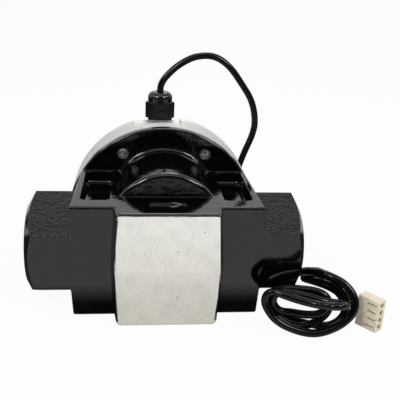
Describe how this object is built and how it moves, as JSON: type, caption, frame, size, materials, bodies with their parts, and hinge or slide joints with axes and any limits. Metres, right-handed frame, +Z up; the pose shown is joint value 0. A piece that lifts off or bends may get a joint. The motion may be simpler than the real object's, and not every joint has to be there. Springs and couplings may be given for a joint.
{
  "type": "oval gear flow meter",
  "caption": "Oval gear flow meter: cast body with hexagonal threaded ports, meshing oval gears in a rear chamber, pulse pickup with cable gland and connector lead.",
  "frame": {"origin": "on the foot plane under the middle of the port axis", "axes": "+X along the ports with the flow, +Y to the gear chamber at the back, +Z up"},
  "size_m": [0.1959, 0.1479, 0.1326],
  "materials": {
    "black_paint": "gloss black paint on an aluminium casting",
    "bare_aluminium": "turned and clear",
    "seal_rubber": "matte",
    "steel": "bright",
    "gear_plastic": "moulded",
    "bush_carbon": "plain bearing plastic",
    "magnet": "nickel plated",
    "black_nylon": "satin moulded",
    "board_laminate": "circuit board laminate",
    "brass": "turned",
    "sensor_plastic": "moulded",
    "cable_sheath": "satin flexible sheath",
    "wire_sheath": "thin coloured sheath",
    "ivory_nylon": "natural nylon",
    "contact_brass": "tin plated sheet"
  },
  "bodies": {
    "meter": {"body_casting": "black_paint", "chamber_ring": "bare_aluminium", "chamber_cover": "bare_aluminium", "front_chamber_seal": "seal_rubber", "rear_chamber_seal": "seal_rubber", "upper_shaft": "steel", "lower_shaft": "steel", "body_screws": "steel", "pulser_cap": "black_nylon", "cap_gasket": "seal_rubber", "cap_screws": "steel", "pulser_board": "board_laminate", "board_spacers": "brass", "board_screws": "steel", "magnet_sensors": "sensor_plastic", "gland_seat_ring": "seal_rubber", "gland_body": "black_nylon", "gland_insert": "seal_rubber", "gland_nut": "black_nylon", "inner_cable": "cable_sheath", "inner_wires": "wire_sheath", "cable_run": "cable_sheath", "cable_hank": "cable_sheath", "cable_tail": "cable_sheath", "connector_wires": "wire_sheath", "connector_housing": "ivory_nylon", "connector_contacts": "contact_brass"},
    "upper_rotor": {"upper_oval_gear": "gear_plastic", "upper_bush": "bush_carbon", "upper_magnets": "magnet"},
    "lower_rotor": {"lower_oval_gear": "gear_plastic", "lower_bush": "bush_carbon", "lower_magnets": "magnet"}
  },
  "joints": [
    {"name": "upper_gear_turn", "type": "hinge", "parent": "meter", "child": "upper_rotor", "pos_m": [0, 0.0485, 0.0633], "axis": [0, 1, 0], "continuous": true},
    {"name": "lower_gear_turn", "type": "hinge", "parent": "meter", "child": "lower_rotor", "pos_m": [0, 0.0485, 0.0313], "axis": [0, 1, 0], "continuous": true}
  ],
  "couplings": [
    {"joint": "lower_gear_turn", "follows": "upper_gear_turn", "ratio": -1}
  ]
}
